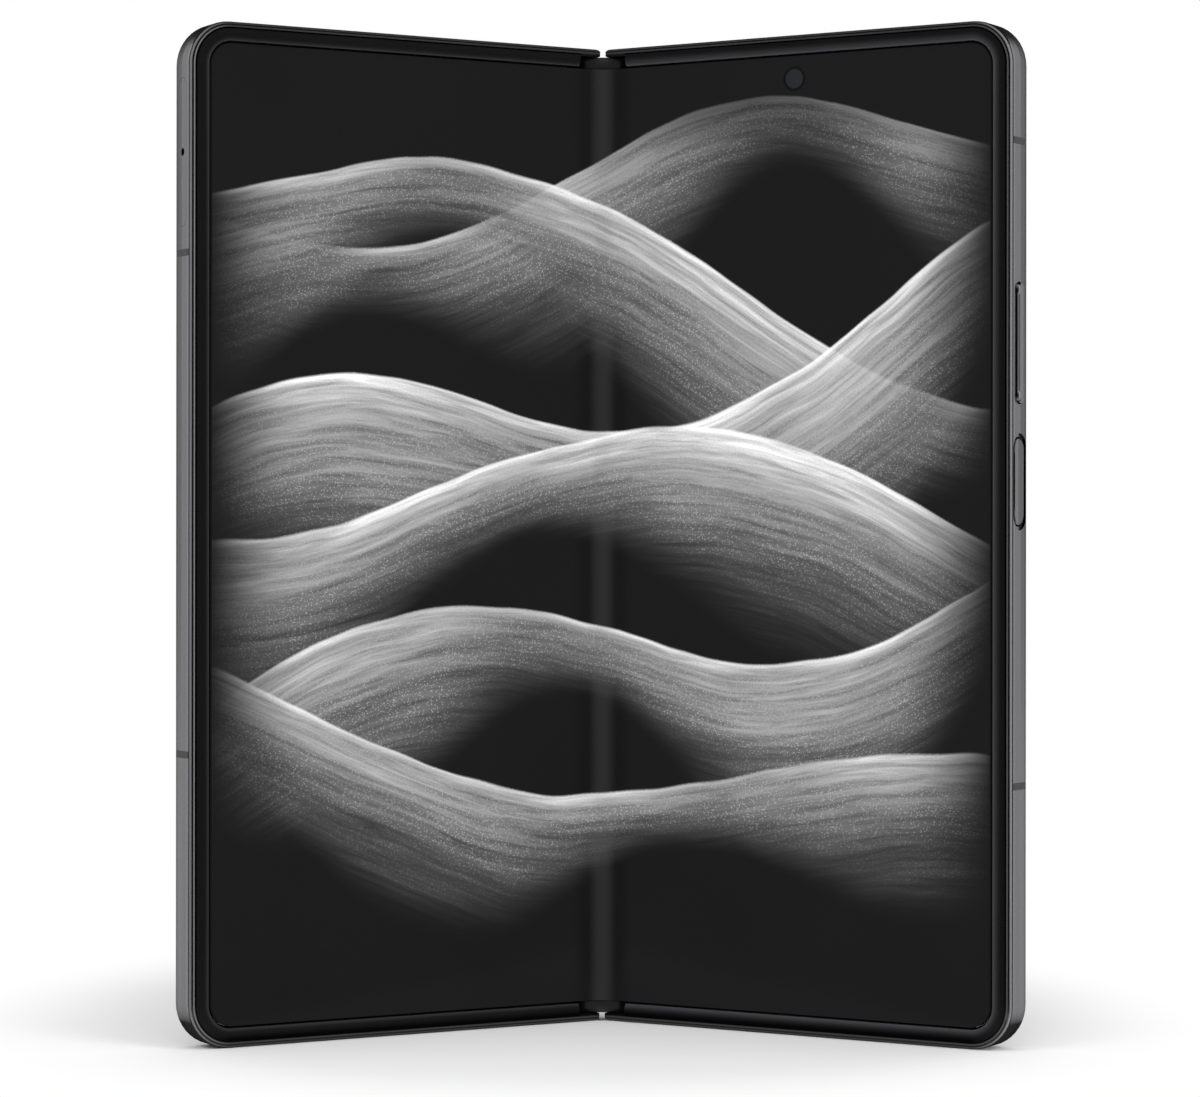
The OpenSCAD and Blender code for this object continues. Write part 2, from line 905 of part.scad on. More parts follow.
module right_battery() {
    color(c_dark)
        right_place()
            box(inner_x, half_w - 5, floor_y, glass_y - 0.4, battery_z, phone_h - right_deck);
}
module charging_coil() {
    cr = min(20, (half_w - coil_room) / 2);
    color([0.6, 0.36, 0.2])
        right_place()
            difference() {
                rod_y(half_w / 2 + 3.5, mid_z - 8, cr, glass_y - 0.4, glass_y - 0.05);
                rod_y(half_w / 2 + 3.5, mid_z - 8, 10, 0, body_t);
            }
}
module sub_board() {
    color(c_board)
        right_place()
            difference() {
                box(inner_x, half_w - 6, floor_y, floor_y + 0.6, 5.5, battery_z - 2);
                box(usb_x - 4.7, usb_x + 4.7, 0, body_t, 0, 9.5);
            }
}
module speaker() {
    color(c_dark)
        right_place()
            box(inner_x, usb_x - 6, floor_y + 0.6, glass_y - 0.4, 5.5, 15);
}
module usb_socket() {
    color(c_polish)
        right_place()
            translate([usb_x, side_y, 0.35]) {
                difference() {
                    linear_extrude(8.2)
                        usb_outline(8.94, 3.16);
                    translate([0, 0, -1])
                        linear_extrude(8.4)
                            usb_outline(8.34, 2.56);
                }
                translate([-3.35, -0.35, 1])
                    cube([6.7, 0.7, 6.6]);
            }
}
module inner_camera() {
    color(c_black)
        right_place() {
            rod_y(inner_cam_x, inner_cam_z, 1.9, back_y, floor_y + 1);
            rod_y(inner_cam_x, inner_cam_z, 2.6, floor_y, glass_y - 1);
        }
}
module key(y, z, w, l, out) {
    translate([half_w - 1.2, y, z])
        rotate([90, 0, 90])
            pill(w, l, 1.2 + out, key_edge);
    side(half_w - wall_t - 0.3, half_w - 1)
        stadium(stem_y, z, stem_w, l - 2);
    side(half_w - wall_t - 0.75, half_w - wall_t - 0.03)
        stadium(stem_y, z, stem_w + 0.7, l - 1);
}
module volume_key() {
    color(c_metal)
        right_place()
            key(volume_y, volume_z, volume_w, volume_l, 0.5);
}
module power_key() {
    color(c_metal)
        right_place()
            key(power_y, power_z, power_w, power_l, -0.1);
}
module key_switches() {
    color(c_dark)
        right_place() {
            box(half_w - wall_t - 2.2, half_w - wall_t - 1.2, floor_y, side_y + 1.2, power_z - 8,
                volume_z + 11);
            for (z = [power_z, volume_z - 6, volume_z + 6])
                box(half_w - wall_t - 1.25, half_w - wall_t - 1.02, side_y - 0.8, side_y + 0.8, z - 1.3, z + 1.3);
        }
}

spine_cover();
hinge_end_caps();
hinge_brackets();
hinge_beam();
display_fold();
left_main_gear();
left_idler_gear();
right_idler_gear();
right_main_gear();
left_rotators();
right_rotators();
left_hinge_screws();
right_hinge_screws();
left_frame();
right_frame();
left_antenna_bands();
right_antenna_bands();
left_trim();
right_trim();
left_display();
right_display();
left_support_plate();
right_support_plate();
cover_glass();
cover_panel();
cover_camera();
earpiece();
left_board();
left_battery();
vibration_motor();
card_tray();
rear_glass();
camera_plate();
lens_rings();
lens_glass();
camera_modules();
flash_lens();
main_board();
shield_can();
right_battery();
charging_coil();
sub_board();
speaker();
usb_socket();
inner_camera();
volume_key();
power_key();
key_switches();
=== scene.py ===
"""Foldable phone, half open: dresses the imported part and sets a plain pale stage."""
import json
import math

import bpy
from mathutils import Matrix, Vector


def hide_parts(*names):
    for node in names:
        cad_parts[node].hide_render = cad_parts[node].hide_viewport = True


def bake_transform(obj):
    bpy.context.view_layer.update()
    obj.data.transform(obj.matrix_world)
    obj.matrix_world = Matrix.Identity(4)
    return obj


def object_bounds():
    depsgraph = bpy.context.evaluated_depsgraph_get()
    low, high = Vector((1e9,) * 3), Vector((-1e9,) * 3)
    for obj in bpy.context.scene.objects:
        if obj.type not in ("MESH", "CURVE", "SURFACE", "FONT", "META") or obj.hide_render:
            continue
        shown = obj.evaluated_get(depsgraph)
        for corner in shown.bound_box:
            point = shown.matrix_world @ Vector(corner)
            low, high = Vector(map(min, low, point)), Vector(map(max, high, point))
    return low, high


bl_info = {
    "name": "Folding phone",
    "version": (1, 0, 0),
    "blender": (4, 5, 0),
    "location": "3D View > Sidebar > Phone",
    "description": "Screen, metal, glass and trim finishes for a half-open folding phone, with a pale studio stage",
    "category": "Object",
}

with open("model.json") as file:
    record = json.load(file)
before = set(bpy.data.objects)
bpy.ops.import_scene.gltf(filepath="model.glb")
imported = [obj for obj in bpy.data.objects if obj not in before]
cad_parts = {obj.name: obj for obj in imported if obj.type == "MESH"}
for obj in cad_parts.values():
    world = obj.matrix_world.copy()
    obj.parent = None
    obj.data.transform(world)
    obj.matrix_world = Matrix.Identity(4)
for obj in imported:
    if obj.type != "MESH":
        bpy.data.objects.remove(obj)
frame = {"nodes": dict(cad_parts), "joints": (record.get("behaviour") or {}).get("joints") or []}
CAD_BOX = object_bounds()
NODES = frame["nodes"]

# ---------------------------------------------------------------- sizes, in metres
MM = 0.001
PHONE_H = CAD_BOX[1][2] - CAD_BOX[0][2]
HALF_W = 72.3 * MM              # from the centre line to the outer edge of a half laid flat
BODY_T = 6.1 * MM
CORNER_R = 6.9 * MM
AXIS_A = 1.6 * MM               # from the centre line to the axis about which a half turns
REST_FOLD = math.radians(30)
HINGE_Y = frame["joints"][0]["pos_m"][1]   # depth of the front plane of the frames at the hinge
SCREEN_FRONT = 0.1 * MM         # the screen's front behind the front plane of the frames
SCREEN_T = 0.5 * MM
SCREEN_EDGE = 3.41 * MM         # from the outer edge of the phone to the screen
SCREEN_CORNER = 3.6 * MM
FOLD_X = AXIS_A + 2.6 * MM      # flat distance from the centre line at which the screen starts to bend
BEND_COLUMNS = 24               # columns that each half of the screen is cut into over its bend
SCREEN_UV = 0.2                 # side of the square that the screen's UV map spans
UNDER_CAMERA = (34.8 * MM, PHONE_H - 7 * MM)   # flat place of the camera under the screen

# ---------------------------------------------------------------- finishes, in mm
# A band of the finish rises from its first number to its second and falls from the third to the fourth.
POLISH_AND_HIGHLIGHT_DEPTH = (0.62, 0.78, 0.98, 1.15)   # polished line along the frame's front edge, painted brighter as a highlight
LIP_DEPTH = (0.44, 0.56)        # where the frame's front lip ends
RIM_HIGHLIGHT_INSET = (0.62, 0.7, 0.82, 0.9)          # painted highlight line inside the groove of the lip
BROW_HIGHLIGHT_INSET = (0.32, 0.46)       # where the painted highlight line on the outer lip ends
WALL_SHADE_INSET = (0.96, 1.0)        # inner face of the frame's wall, painted near black as shade
WALL_SHADE_DEPTH = (2.4, 2.6)         # how deep the painted shade on the inner face reaches
REAR_SHADE = (BODY_T / MM - 1.6, BODY_T / MM - 1.25)   # where painted shade darkens the wall towards the rear edge
REAR_ROUND = 3.0                # depth over which the wall rolls towards the rear edge
FOOT_SHADE_Z = (9.0, 12.0)            # height at which the painted shade of the lower corners ends
FOOT_SHADE_TURN = (0.0, 0.42)         # how far a corner has turned from the long side where its painted shade is full
FOOT_SHADE_TONE = 0.16                # tone of the painted shade on the frame's lower corners beside its long sides
STRIP_OUT, STRIP_IN = 1.07, 3.07   # outer and inner edge of the border strip from the phone's outer edge
SILL_SHADE_Z = (4.0, 9.0)             # height at which the painted shade of the lower border strip ends
VOLUME_FRONT, POWER_FRONT = 1.6, 1.1   # depths of the keys' front walls
LENS_OUT, LENS_TOP, LENS_PITCH = 58.3, PHONE_H / MM - 18.4, 14.6   # flat places of the rear lenses
LENS_RINGS = ((3.9, 0.16, (0.09, 0.09, 0.1)), (2.7, 0.1, (0.05, 0.052, 0.06)))   # radius, width and colour
DESIGN_U, DESIGN_V = (52.0, 70.0), (54.0, 74.0)   # over which the design fades, from the screen's middle
CREASE_LIGHT_AND_SHADE = (0.3, 2.4)             # painted reflection along the fold, where painted shade also dims the design
CREASE_SIDE_SHADE = (1.2, 2.6, 2.8, 5.5)          # the band of painted shade beside it
GLOSS_V = (-74.0, -56.0)        # height from the screen's middle over which its gloss grows to full
CAMERA_DISC = (1.45, 1.6)       # edge of the disc of the camera under the screen
CAMERA_RING = (1.45, 1.6, 1.85, 2.1)        # dark ring around it
BLACK = (0.004, 0.004, 0.004, 1)
FINE_GRAIN = 9000               # scale of the finest grain of metal and plastic
GRAIN_DEPTH = 0.000012          # height of the grain of plain finishes, in metres

# One fold of the screen's design in each row: middle height, slope, swing and length of its waves, phase, width,
# brightness, and a seed for its fibres.
FOLDS = (
    (58, 0.10, 9, 21, 0.4, 30, 0.75, 1.0),
    (44, -0.18, 12, 27, 2.2, 34, 0.9, 2.0),
    (26, 0.24, 11, 24, 4.0, 36, 1.0, 3.0),
    (6, -0.10, 14, 30, 0.9, 34, 0.95, 4.0),
    (-16, 0.16, 10, 23, 3.1, 32, 0.9, 5.0),
    (-34, -0.14, 9, 26, 5.2, 26, 0.8, 6.0),
)

# ---------------------------------------------------------------- stage
PICTURE = (1200, 1097)          # the picture that the camera is fitted to, in pixels
HINGE_PIXEL = (602.4, 534.9)    # where the hinge's middle lies in it
CAMERA_TURN = math.radians(-0.5)   # the camera's place about the hinge
SENSOR = 36                     # width of the camera's sensor, in mm
POOL_MIDDLE = (-0.006, 0.015)   # middle of the shaded part of the floor, past which it goes to white
POOL_ACROSS, POOL_BEHIND, POOL_BEFORE = 0.096, 0.13, 0.085   # its reach to the sides, behind and in front
POOL_EDGE = (0.68, 1.1)         # where it fades, in shares of its reach


# ---------------------------------------------------------------- settings
class PhoneFinish(bpy.types.PropertyGroup):
    """Finishes of the phone"""
    metal_color: bpy.props.FloatVectorProperty(
        name="Metal", description="Colour of the graphite frame", subtype="COLOR", size=3,
        default=(0.141, 0.141, 0.147), min=0, max=1)
    metal_roughness: bpy.props.FloatProperty(
        name="Metal roughness", description="Satin of the side bands", default=0.34, min=0.05, max=1, subtype="FACTOR")
    trim_color: bpy.props.FloatVectorProperty(
        name="Border strip", description="Colour of the raised border strip", subtype="COLOR", size=3,
        default=(0.0065, 0.0065, 0.007), min=0, max=1)
    screen_ground: bpy.props.FloatVectorProperty(
        name="Screen ground", description="Glow of the empty parts of the screen", subtype="COLOR", size=3,
        default=(0.0062, 0.0062, 0.0065), min=0, max=1)
    screen_bright: bpy.props.FloatProperty(
        name="Screen design", description="Brightness of the greyscale design", default=0.9, min=0, max=2)
    glass_color: bpy.props.FloatVectorProperty(
        name="Rear glass", description="Colour of the satin rear glass", subtype="COLOR", size=3,
        default=(0.07, 0.07, 0.075), min=0, max=1)


class PhoneStage(bpy.types.PropertyGroup):
    """Camera, floor and light"""
    camera_distance: bpy.props.FloatProperty(
        name="Camera distance", description="From the camera to the display plane at the hinge", default=0.587,
        min=0.3, max=2, unit="LENGTH")
    picture_scale: bpy.props.FloatProperty(
        name="Scale at the hinge", description="Pixels of the 1200-pixel-wide picture to a millimetre", default=6.149,
        min=1, max=20)
    camera_roll: bpy.props.FloatProperty(
        name="Camera roll", description="Turn of the camera about its line of sight", default=math.radians(-0.05),
        min=-0.2, max=0.2, unit="ROTATION")
    key_power: bpy.props.FloatProperty(
        name="Side lamps", description="Power of the two side lamps", default=2.75, min=0, max=100, unit="POWER")
    front_power: bpy.props.FloatProperty(
        name="Front lamp", description="Power of the lamp over the camera, for the floor", default=1.1, min=0,
        max=100, unit="POWER")
    world_level: bpy.props.FloatProperty(
        name="Room level", description="Strength of the white room", default=0.73, min=0, max=2)
    floor_color: bpy.props.FloatVectorProperty(
        name="Floor", description="Colour of the floor", subtype="COLOR", size=3, default=(0.86, 0.86, 0.86),
        min=0, max=1)
    floor_lift: bpy.props.FloatProperty(
        name="Floor lift", description="How much paler the floor is to the camera", default=1.02, min=1, max=4)


# ---------------------------------------------------------------- shader helpers
def rgba(color, gain=1.0):
    """The colour times gain, no brighter than white, with its alpha."""
    return tuple(min(1, c * gain) for c in color) + (1,)


class Graph:
    """Builds a material's nodes from short calls."""

    def __init__(self, name):
        self.material = bpy.data.materials.new(name)
        self.material.use_nodes = True
        self.tree = self.material.node_tree
        self.tree.nodes.clear()
        self.out = self.node("ShaderNodeOutputMaterial")

    def node(self, kind, **values):
        n = self.tree.nodes.new(kind)
        for k, v in values.items():
            setattr(n, k, v)
        return n

    def link(self, source, socket):
        self.tree.links.new(source, socket)

    def feed(self, socket, value):
        if isinstance(value, bpy.types.NodeSocket):
            self.link(value, socket)
        else:
            socket.default_value = value

    def math(self, op, a, b=None, c=None, clamp=False):
        n = self.node("ShaderNodeMath", operation=op, use_clamp=clamp)
        for i, v in enumerate((a, b, c)):
            if v is not None:
                self.feed(n.inputs[i], v)
        return n.outputs[0]

    def add(self, a, b):
        return self.math("ADD", a, b)

    def sub(self, a, b):
        return self.math("SUBTRACT", a, b)

    def mul(self, a, b):
        return self.math("MULTIPLY", a, b)

    def scaled(self, a, factor, offset):
        """a times the factor, plus the offset."""
        return self.math("MULTIPLY_ADD", a, factor, offset)

    def max(self, a, b):
        return self.math("MAXIMUM", a, b)

    def abs(self, a):
        return self.math("ABSOLUTE", a)

    def flip(self, a):
        """1 where a is 0, and 0 where it is 1."""
        return self.sub(1.0, a)

    def length(self, a, b):
        """Length of the flat vector (a, b)."""
        return self.math("SQRT", self.add(self.mul(a, a), self.mul(b, b)))

    def step(self, value, low, high):
        """0 below low, 1 above high, smooth between."""
        n = self.node("ShaderNodeMapRange", interpolation_type="SMOOTHSTEP")
        self.feed(n.inputs["Value"], value)
        n.inputs["From Min"].default_value = low
        n.inputs["From Max"].default_value = high
        return n.outputs["Result"]

    def below(self, value, low, high):
        """1 below low, 0 above high, smooth between."""
        return self.flip(self.step(value, low, high))

    def band(self, value, start, full, fall, end):
        """1 from full to fall, 0 before start and past end."""
        return self.mul(self.step(value, start, full), self.below(value, fall, end))

    def mix(self, factor, a, b):
        n = self.node("ShaderNodeMix", data_type="FLOAT")
        self.feed(n.inputs[0], factor)
        self.feed(n.inputs[2], a)
        self.feed(n.inputs[3], b)
        return n.outputs[0]

    def blend(self, factor, a, b):
        n = self.node("ShaderNodeMix", data_type="RGBA")
        self.feed(n.inputs[0], factor)
        self.feed(n.inputs[6], a)
        self.feed(n.inputs[7], b)
        return n.outputs[2]

    def shade(self, color, factor, low, high):
        """The colour between low and high times itself, by factor."""
        return self.blend(factor, rgba(color, low), rgba(color, high))

    def combine(self, x, y, z=0.0):
        n = self.node("ShaderNodeCombineXYZ")
        for i, v in enumerate((x, y, z)):
            self.feed(n.inputs[i], v)
        return n.outputs[0]

    def split(self, vector):
        n = self.node("ShaderNodeSeparateXYZ")
        self.link(vector, n.inputs[0])
        return n.outputs

    def coords(self):
        return self.node("ShaderNodeTexCoord").outputs["Object"]

    def place(self, scale=(1, 1, 1)):
        n = self.node("ShaderNodeMapping")
        n.inputs["Scale"].default_value = scale
        self.link(self.coords(), n.inputs["Vector"])
        return n.outputs[0]

    def noise(self, vector, scale, detail=3.0, rough=0.5, distortion=0.0):
        n = self.node("ShaderNodeTexNoise")
        self.link(vector, n.inputs["Vector"])
        n.inputs["Scale"].default_value = scale
        n.inputs["Detail"].default_value = detail
        n.inputs["Roughness"].default_value = rough
        n.inputs["Distortion"].default_value = distortion
        return n.outputs["Fac"]

    def fine(self, scale=FINE_GRAIN):
        """The finest grain of a finish."""
        return self.noise(self.place(), scale, 2, 0.6)

    def specks(self, vector, scale):
        """Distance from the middle of the nearest speck."""
        n = self.node("ShaderNodeTexVoronoi")
        self.link(vector, n.inputs["Vector"])
        n.inputs["Scale"].default_value = scale
        return n.outputs["Distance"]

    def bump(self, height, strength, distance):
        n = self.node("ShaderNodeBump")
        n.inputs["Strength"].default_value = strength
        n.inputs["Distance"].default_value = distance
        self.link(height, n.inputs["Height"])
        return n.outputs[0]

    def relief(self, height):
        """The bump of a height given in mm."""
        return self.bump(height, 1.0, MM)

    def surface(self, **values):
        n = self.node("ShaderNodeBsdfPrincipled")
        for k, v in values.items():
            self.feed(n.inputs[k.replace("_", " ")], v)
        self.link(n.outputs[0], self.out.inputs["Surface"])


def flat_spot(g):
    """Depth behind the front plane of a half, flat distance out from the centre line and height, in mm."""
    spot = g.split(g.coords())
    x = g.mul(g.sub(g.abs(spot[0]), AXIS_A), 1 / MM)
    y = g.mul(g.sub(spot[1], HINGE_Y), 1 / MM)
    z = g.mul(spot[2], 1 / MM)
    cos, sin = math.cos(REST_FOLD), math.sin(REST_FOLD)
    depth = g.add(g.mul(x, sin), g.mul(y, cos))
    return depth, g.add(g.sub(g.mul(x, cos), g.mul(y, sin)), AXIS_A / MM), z


def edge_place(g, out, z):
    """Distance inwards from a half's outer edges in mm, and 1 on its long side falling to 0 on its ends."""
    r, middle = CORNER_R / MM, PHONE_H / MM / 2
    a = g.max(g.sub(out, HALF_W / MM - r), 0.0)
    b = g.max(g.sub(g.abs(g.sub(z, middle)), middle - r), 0.0)
    reach = g.length(a, b)
    return g.sub(r, reach), g.math("DIVIDE", a, g.max(reach, 0.01))


# ---------------------------------------------------------------- materials
def frame_metal(name, color, roughness, rim_highlight_gain, brow_highlight_gain):
    """Satin side bands with a wall that rolls to the rear, a polished edge with a painted highlight, painted highlight
    lines on the front lip that turn to painted shade on the ends, painted shade on the lower corners and towards the
    rear edge, and insides painted near black as shade.
    """
    g = Graph(name)
    depth, out, z = flat_spot(g)
    inset, side = edge_place(g, out, z)
    # Polished band with a painted highlight: lower roughness and a colour 1.45 times brighter.
    edge = g.band(depth, *POLISH_AND_HIGHLIGHT_DEPTH)
    lip = g.below(depth, *LIP_DEPTH)
    # Painted highlight lines on the front lip.
    rim_highlight = g.mul(lip, g.band(inset, *RIM_HIGHLIGHT_INSET))
    brow_highlight = g.mul(lip, g.below(inset, *BROW_HIGHLIGHT_INSET))
    highlight_lines = g.max(rim_highlight, brow_highlight)
    # Painted shade: the inner face of the wall in the gap is painted near black and matte.
    inside = g.mul(g.step(inset, *WALL_SHADE_INSET), g.below(depth, *WALL_SHADE_DEPTH))
    turned = g.math("SQRT", g.flip(g.mul(side, side)))
    # Painted shade on the lower corners, also without gloss.
    foot_shade = g.mul(g.below(z, *FOOT_SHADE_Z), g.step(turned, *FOOT_SHADE_TURN))
    base = g.blend(edge, g.shade(color, g.noise(g.place(), 45, 3), 0.93, 1.07), rgba(color, 1.45))
    base = g.blend(foot_shade, base, rgba(color, FOOT_SHADE_TONE))
    # The lip lines are painted highlights on the long sides and painted shade on the ends.
    for line, gain in ((rim_highlight, rim_highlight_gain), (brow_highlight, brow_highlight_gain)):
        base = g.blend(line, base, g.blend(side, rgba(color, 0.25), rgba(color, gain)))
    # Painted shade towards the rear edge of the wall.
    base = g.blend(g.step(depth, *REAR_SHADE), base, rgba(color, 0.4))
    base = g.blend(inside, base, BLACK)
    fibre = g.noise(g.place((60, 60, 1)), 260, 3, 0.6)
    rough = g.mix(edge, g.mix(fibre, roughness - 0.03, roughness + 0.03), 0.22)
    rough = g.mix(inside, rough, 0.8)
    rear = g.max(g.sub(depth, BODY_T / MM - REAR_ROUND), 0.0)
    height = g.sub(g.mul(g.fine(), 0.004), g.mul(g.mul(rear, rear), 0.5))
    foot_shade = g.mul(foot_shade, g.flip(highlight_lines))
    matte = g.max(g.max(inside, foot_shade), g.mul(highlight_lines, 0.85))
    g.surface(Base_Color=base, Roughness=rough, Metallic=g.flip(matte), Normal=g.relief(height),
              Specular_IOR_Level=g.mix(foot_shade, 0.5, 0.0))
    return g.material


def key_metal(name, color, roughness, front, wall_depth):
    """A key: a satin face that rolls to the rear, with a painted highlight along its ridge, painted shade in black
    along its front edge and a dull front wall.
    """
    g = Graph(name)
    depth = flat_spot(g)[0]
    wall = g.below(depth, front + wall_depth - 0.04, front + wall_depth + 0.04)
    # Painted highlight along the ridge.
    ridge_highlight = g.mul(wall, g.step(depth, front + 0.12, front + 0.2))
    roll = g.max(g.sub(depth, front + 0.5), 0.0)
    base = g.shade(color, g.noise(g.place(), 60, 3), 0.94, 1.06)
    base = g.blend(wall, base, rgba(color, 0.8))
    base = g.blend(ridge_highlight, base, rgba(color, 2.4))
    # Painted shade: near black along the key's front edge, in the gap.
    base = g.blend(g.below(depth, front + 0.01, front + 0.06), base, BLACK)
    rough = g.mix(g.noise(g.place(), 240, 4), roughness - 0.04, roughness + 0.04)
    height = g.sub(g.mul(g.fine(), 0.004), g.mul(g.mul(roll, roll), 0.08))
    g.surface(Base_Color=base, Roughness=rough, Metallic=g.flip(g.mul(wall, 0.85)), Normal=g.relief(height))
    return g.material


def lens_material():
    """Lens glass with its rings: a dark barrel, two fine paler rings and a bluish pupil."""
    g = Graph("lens_glass")
    _, out, z = flat_spot(g)
    half = LENS_PITCH / 2
    high = g.sub(half, g.math("PINGPONG", g.sub(z, LENS_TOP - 3 * half), half))
    r = g.length(g.sub(out, LENS_OUT), high)
    base = g.shade((0.006, 0.006, 0.008), g.noise(g.place(), 900, 2), 0.8, 1.2)
    for radius, width, color in LENS_RINGS:
        base = g.blend(g.below(g.abs(g.sub(r, radius)), width / 2, width), base, rgba(color))
    base = g.blend(g.below(r, 0.9, 1.9), base, (0.006, 0.01, 0.035, 1))
    g.surface(Base_Color=base, Roughness=g.mix(g.noise(g.place(), 90, 2), 0.03, 0.05), Coat_Weight=0.6)
    return g.material


def strip_plastic(name, color, reach, gain):
    """The raised border strip: a soft matte crown with a smoother inner edge and a painted highlight over the reach in
    mm towards it, with painted shade along its outer edge and on the lower strip.
    """
    g = Graph(name)
    _, out, z = flat_spot(g)
    inset, side = edge_place(g, out, z)
    at = g.place()
    inner = g.step(inset, STRIP_IN - 0.62, STRIP_IN - 0.1)
    # Painted shade along the outer edge, in the gap beside the frame.
    outer_shade = g.below(inset, STRIP_OUT + 0.04, STRIP_OUT + 0.16)
    # Painted shade on the lower strip.
    sill_shade = g.mul(g.mul(g.below(z, *SILL_SHADE_Z), g.flip(side)), g.below(inset, STRIP_OUT + 0.2, STRIP_IN - 0.3))
    # Painted highlight that grows towards the inner edge.
    edge_highlight = g.math("POWER", g.math("DIVIDE", g.sub(inset, STRIP_IN - reach), reach, clamp=True), 2.0)
    base = g.blend(edge_highlight, g.shade(color, g.noise(at, 60, 3), 0.85, 1.15), rgba(color, gain))
    for dark in (outer_shade, sill_shade):
        base = g.blend(dark, base, rgba(color, 0.1))
    rough = g.mix(inner, g.mix(g.noise(at, 240, 4), 0.46, 0.56), 0.3)
    height = g.sub(g.mul(g.fine(6000), 0.006), g.mul(inner, 0.10))
    g.surface(Base_Color=base, Roughness=rough, Specular_IOR_Level=g.mix(sill_shade, 0.16, 0.02), Normal=g.relief(height))
    return g.material


def grained(name, color, roughness, metallic=0.0, grain=FINE_GRAIN, spread=0.06, cloud=60.0, **more):
    """A finish with fine grain, a soft change of tone over the piece and a slightly uneven gloss."""
    g = Graph(name)
    at = g.place()
    rough = g.mix(g.noise(at, cloud * 4, 4), max(0.02, roughness - spread), min(1, roughness + spread))
    g.surface(Base_Color=g.shade(color, g.noise(at, cloud, 3), 0.9, 1.1), Roughness=rough, Metallic=metallic,
              Normal=g.bump(g.fine(grain), 0.35, GRAIN_DEPTH), **more)
    return g.material


def cap_plastic(color):
    """End caps of the spine: satin, with a painted highlight in the middle and painted shade, near black, in the recess
    beside and under the flange tips.
    """
    g = Graph("cap_plastic")
    spot = g.split(g.coords())
    x = g.mul(g.abs(spot[0]), 1 / MM)
    end = g.mul(g.sub(PHONE_H / 2, g.abs(g.sub(spot[2], PHONE_H / 2))), 1 / MM)
    # Painted shade, near black, in the recess; a painted highlight in the middle.
    recess_shade = g.max(g.below(g.sub(end, g.mul(x, 0.3)), 1.1, 1.5), g.step(x, 2.4, 3.2))
    middle = g.mul(g.below(x, 0.2, 1.6), g.below(end, 1.7, 3.0))
    base = g.blend(middle, g.shade(color, g.noise(g.place(), 300, 3), 0.85, 1.15), rgba(color, 2.0))
    base = g.blend(recess_shade, base, rgba(color, 0.1))
    g.surface(Base_Color=base, Roughness=g.mix(recess_shade, 0.45, 0.9), Specular_IOR_Level=0.2,
              Normal=g.bump(g.fine(), 0.35, GRAIN_DEPTH))
    return g.material


def fold_light(g, u, v, drift, fold):
    """One translucent fold of the design, crisp along its upper edge, breaking up into grains below: light, cover."""
    base, slope, height, length, phase, width, bright, seed = fold
    crest = g.add(g.mul(g.math("SINE", g.scaled(u, 1 / length, phase)), height), g.scaled(u, slope, base))
    depth = g.sub(g.add(crest, g.mul(drift, 7.0)), v)
    near = g.step(depth, 0.0, 0.55)
    swell = g.scaled(g.math("SINE", g.scaled(u, 1.7 / length, phase * 2 + seed)), 0.35, 0.75)
    fade = g.math("SUBTRACT", 1.0, g.math("DIVIDE", depth, g.mul(swell, width)), clamp=True)
    fibre = g.noise(g.combine(g.mul(u, 0.035), g.mul(depth, 0.55), seed), 1.6, 5, 0.62, 0.4)
    sheen = g.noise(g.combine(g.mul(u, 0.02), g.mul(depth, 0.11), seed + 7), 1.0, 2, 0.5)
    tone = g.mul(g.math("POWER", fade, 1.25), g.scaled(fibre, 1.15, 0.1))
    tone = g.mul(tone, g.scaled(sheen, 1.2, 0.35))
    edge = g.mul(g.below(depth, 0.0, 2.2), 0.28)
    return g.mul(near, g.mul(g.add(tone, g.mul(edge, fade)), bright)), g.mul(near, g.step(fade, 0.0, 0.55))


def design_tone(g, u, v, flat):
    """The greyscale design of drifting folds, with grains and specks of dust, fading towards the screen's edges."""
    drift = g.sub(g.noise(flat, 0.018, 3, 0.5), 0.5)
    tone = None
    for fold in FOLDS:
        light, cover = fold_light(g, u, v, drift, fold)
        tone = light if tone is None else g.add(g.mul(tone, g.flip(g.mul(cover, 0.88))), light)
    grain = g.noise(flat, 3.2, 2, 0.7)
    dust = g.mul(g.math("LESS_THAN", g.specks(flat, 2.6), 0.3), g.noise(flat, 0.09, 3, 0.6))
    tone = g.mul(g.math("POWER", g.max(tone, 0.0), 1.6), g.scaled(grain, 0.7, 0.9))
    tone = g.add(tone, g.mul(g.mul(dust, g.band(tone, 0.01, 0.16, 0.2, 0.5)), 0.35))
    return g.mul(tone, g.mul(g.below(g.abs(u), *DESIGN_U), g.below(g.abs(v), *DESIGN_V)))


